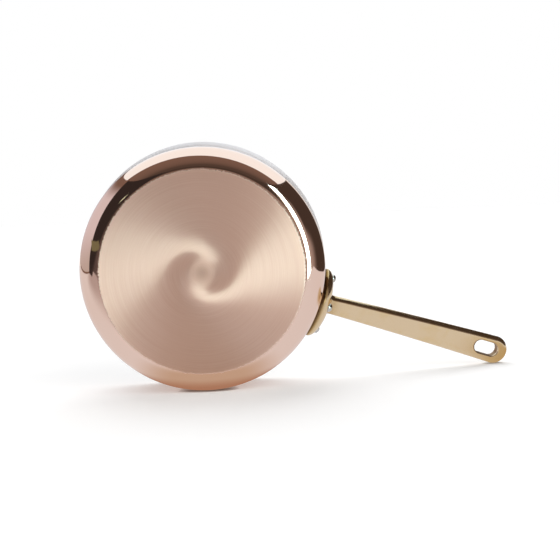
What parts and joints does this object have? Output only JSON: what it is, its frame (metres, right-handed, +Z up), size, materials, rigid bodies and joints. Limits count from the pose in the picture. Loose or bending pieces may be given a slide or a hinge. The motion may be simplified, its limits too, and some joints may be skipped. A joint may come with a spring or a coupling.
{
  "type": "saute pan",
  "caption": "Round saute pan: copper body with flat base and upright wall, steel lining with a flared pouring lip, and a long brass handle riveted to the wall with a hanging slot.",
  "frame": {"origin": "centre of the base's flat underside", "axes": "+Z up out of the pan's mouth, +X along the handle"},
  "size_m": [0.385, 0.206, 0.0906],
  "materials": {
    "copper": "copper, polished on the wall and the corner, spiral brushed on the base",
    "lining_steel": "fine brushed stainless steel",
    "handle_brass": "polished cast brass",
    "rivet_steel": "plain steel"
  },
  "bodies": {
    "root": {"copper_shell": "copper", "steel_lining": "lining_steel", "brass_handle": "handle_brass", "rivet_left": "rivet_steel", "rivet_right": "rivet_steel", "rivet_lower": "rivet_steel"}
  },
  "joints": []
}
